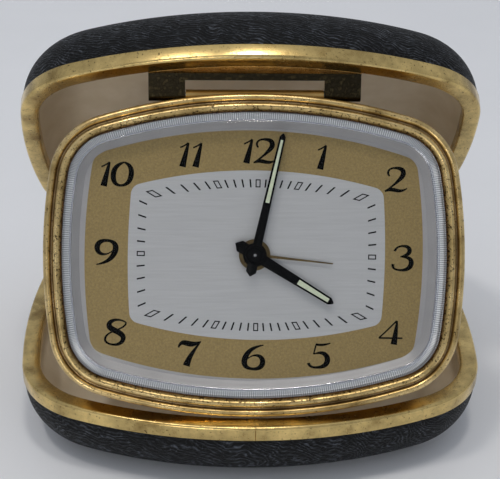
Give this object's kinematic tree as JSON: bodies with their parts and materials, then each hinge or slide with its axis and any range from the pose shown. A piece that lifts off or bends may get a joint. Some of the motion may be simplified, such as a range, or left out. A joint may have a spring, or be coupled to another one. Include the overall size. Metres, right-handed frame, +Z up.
{
  "type": "folding travel alarm clock",
  "caption": "Clamshell travel alarm clock with leather-covered case, brass rims and a framed gold dial on a folding hinge, standing open.",
  "frame": {"origin": "centre of the flat underside of the lower case shell", "axes": "+X to the right seen from the front, the dial faces -Y and up, +Z up"},
  "size_m": [0.104, 0.0959, 0.0907],
  "materials": {
    "leather": "grained black leather cloth",
    "rim_brass": "polished, aged gilt brass",
    "lining": "taupe velvet",
    "steel": "plain steel",
    "dark_steel": "dark bronzed steel",
    "bezel_brass": "polished, aged gilt brass",
    "crystal": "clear moulded crystal",
    "silver": "satin silver",
    "dial_gold": "satin gilt",
    "case_gilt": "satin gilt",
    "movement_brass": "matt brass",
    "black": "gloss black",
    "lume": "matt luminous paint",
    "jewel": "polished ruby"
  },
  "bodies": {
    "base": {"base_shell": "steel", "base_leather": "leather", "base_rim": "rim_brass", "base_lining": "lining", "rear_hinge_base_leaf": "rim_brass", "rear_hinge_pin": "steel"},
    "lid": {"lid_shell": "steel", "lid_leather": "leather", "lid_rim": "rim_brass", "lid_lining": "lining", "rear_hinge_lid_leaf": "rim_brass", "head_hinge_plate": "dark_steel", "head_hinge_pin": "steel"},
    "head": {"head_hinge_leaf": "case_gilt", "bezel": "bezel_brass", "crystal": "crystal", "rehaut_ring": "silver", "dial": "dial_gold", "back_case": "case_gilt", "case_screws": "steel", "front_plate": "movement_brass", "back_plate": "movement_brass", "plate_pillars": "movement_brass", "pillar_nuts": "steel", "hairspring": "steel", "balance_jewels": "jewel"},
    "time_barrel_body": {"time_barrel": "movement_brass", "time_mainspring": "steel"},
    "time_winder": {"time_winding_arbor": "steel", "time_key": "case_gilt"},
    "alarm_barrel_body": {"alarm_barrel": "movement_brass", "alarm_mainspring": "steel"},
    "alarm_winder": {"alarm_winding_arbor": "steel", "alarm_key": "case_gilt"},
    "centre": {"centre_wheel": "movement_brass"},
    "third": {"third_wheel": "movement_brass"},
    "fourth": {"fourth_wheel": "movement_brass"},
    "escape": {"escape_wheel": "movement_brass"},
    "lever": {"pallet_lever": "steel"},
    "balance": {"balance_wheel": "movement_brass"},
    "regulator": {"regulator_lever": "steel"},
    "minute": {"cannon_pinion": "movement_brass", "minute_hand": "black", "minute_hand_lume": "lume"},
    "hour": {"hour_wheel": "movement_brass", "hour_hand": "black", "hour_hand_lume": "lume"},
    "minute_transfer": {"minute_wheel": "movement_brass"},
    "hand_setter": {"hand_setting_arbor": "steel", "hand_setting_knob": "case_gilt"},
    "alarm_pointer": {"alarm_wheel": "movement_brass", "alarm_hand": "movement_brass"},
    "alarm_setter": {"alarm_setting_arbor": "steel", "alarm_setting_knob": "case_gilt"},
    "alarm_escape": {"alarm_escape_wheel": "movement_brass"},
    "hammer": {"alarm_hammer": "steel"},
    "stop": {"alarm_stop_button": "case_gilt"}
  },
  "joints": [
    {"name": "lid_hinge", "type": "hinge", "parent": "base", "child": "lid", "pos_m": [0, 0.0452, 0.017], "axis": [-1, 0, 0], "range_deg": [0, 45]},
    {"name": "head_fold", "type": "hinge", "parent": "lid", "child": "head", "pos_m": [0, -0.00751, 0.07551], "axis": [1, 0, 0], "range_deg": [0, 66.4]},
    {"name": "centre_wheel_turn", "type": "hinge", "parent": "head", "child": "centre", "pos_m": [0, -0.01284, 0.04096], "axis": [0, 0.8949, -0.4462], "continuous": true},
    {"name": "third_wheel_turn", "type": "hinge", "parent": "head", "child": "third", "pos_m": [0.00567, -0.00845, 0.04975], "axis": [0, 0.8949, -0.4462], "continuous": true},
    {"name": "fourth_wheel_turn", "type": "hinge", "parent": "head", "child": "fourth", "pos_m": [-0.00096, -0.00675, 0.05317], "axis": [0, 0.8949, -0.4462], "continuous": true},
    {"name": "time_barrel_turn", "type": "hinge", "parent": "head", "child": "time_barrel_body", "pos_m": [-0.01105, -0.01463, 0.03736], "axis": [0, 0.8949, -0.4462], "continuous": true},
    {"name": "escape_wheel_turn", "type": "hinge", "parent": "head", "child": "escape", "pos_m": [-0.00795, -0.00647, 0.05372], "axis": [0, 0.8949, -0.4462], "continuous": true},
    {"name": "lever_swing", "type": "hinge", "parent": "head", "child": "lever", "pos_m": [-0.01366, -0.0073, 0.05206], "axis": [0, 0.8949, -0.4462], "range_deg": [-4, 4]},
    {"name": "balance_swing", "type": "hinge", "parent": "head", "child": "balance", "pos_m": [-0.02123, -0.0076, 0.05147], "axis": [0, 0.8949, -0.4462], "range_deg": [-135, 135]},
    {"name": "regulator_turn", "type": "hinge", "parent": "head", "child": "regulator", "pos_m": [-0.02123, -0.0076, 0.05147], "axis": [0, 0.8949, -0.4462], "range_deg": [-12, 12]},
    {"name": "minute_hand_turn", "type": "hinge", "parent": "head", "child": "minute", "pos_m": [0, -0.01284, 0.04096], "axis": [0, 0.8949, -0.4462], "continuous": true},
    {"name": "hour_hand_turn", "type": "hinge", "parent": "head", "child": "hour", "pos_m": [0, -0.01284, 0.04096], "axis": [0, 0.8949, -0.4462], "continuous": true},
    {"name": "minute_wheel_turn", "type": "hinge", "parent": "head", "child": "minute_transfer", "pos_m": [0.00186, -0.01594, 0.03474], "axis": [0, 0.8949, -0.4462], "continuous": true},
    {"name": "hand_setting_turn", "type": "hinge", "parent": "head", "child": "hand_setter", "pos_m": [0.00186, -0.01915, 0.0283], "axis": [0, 0.8949, -0.4462], "continuous": true},
    {"name": "alarm_hand_turn", "type": "hinge", "parent": "head", "child": "alarm_pointer", "pos_m": [0, -0.01284, 0.04096], "axis": [0, 0.8949, -0.4462], "continuous": true},
    {"name": "alarm_setting_turn", "type": "hinge", "parent": "head", "child": "alarm_setter", "pos_m": [0.01184, -0.01091, 0.04482], "axis": [0, 0.8949, -0.4462], "continuous": true},
    {"name": "time_winding", "type": "hinge", "parent": "head", "child": "time_winder", "pos_m": [-0.01105, -0.01463, 0.03736], "axis": [0, 0.8949, -0.4462], "continuous": true},
    {"name": "alarm_winding", "type": "hinge", "parent": "head", "child": "alarm_winder", "pos_m": [0.0155, -0.01641, 0.0338], "axis": [0, 0.8949, -0.4462], "continuous": true},
    {"name": "alarm_barrel_turn", "type": "hinge", "parent": "head", "child": "alarm_barrel_body", "pos_m": [0.0155, -0.01641, 0.0338], "axis": [0, 0.8949, -0.4462], "continuous": true},
    {"name": "alarm_escape_turn", "type": "hinge", "parent": "head", "child": "alarm_escape", "pos_m": [0.02145, -0.01301, 0.04061], "axis": [0, 0.8949, -0.4462], "continuous": true},
    {"name": "hammer_swing", "type": "hinge", "parent": "head", "child": "hammer", "pos_m": [0.02323, -0.01083, 0.04499], "axis": [0, 0.8949, -0.4462], "range_deg": [-8, 8]},
    {"name": "alarm_stop_slide", "type": "slide", "parent": "head", "child": "stop", "axis": [0, -0.8949, 0.4462], "range_m": [0, 0.0012]}
  ],
  "couplings": [
    {"joint": "time_barrel_turn", "follows": "centre_wheel_turn", "ratio": -0.16667},
    {"joint": "third_wheel_turn", "follows": "centre_wheel_turn", "ratio": -8},
    {"joint": "fourth_wheel_turn", "follows": "centre_wheel_turn", "ratio": 60},
    {"joint": "escape_wheel_turn", "follows": "centre_wheel_turn", "ratio": -480},
    {"joint": "minute_wheel_turn", "follows": "minute_hand_turn", "ratio": -0.33333},
    {"joint": "hour_hand_turn", "follows": "minute_hand_turn", "ratio": 0.083333},
    {"joint": "hand_setting_turn", "follows": "minute_hand_turn", "ratio": 1},
    {"joint": "alarm_setting_turn", "follows": "alarm_hand_turn", "ratio": -4},
    {"joint": "alarm_escape_turn", "follows": "alarm_barrel_turn", "ratio": -6}
  ]
}
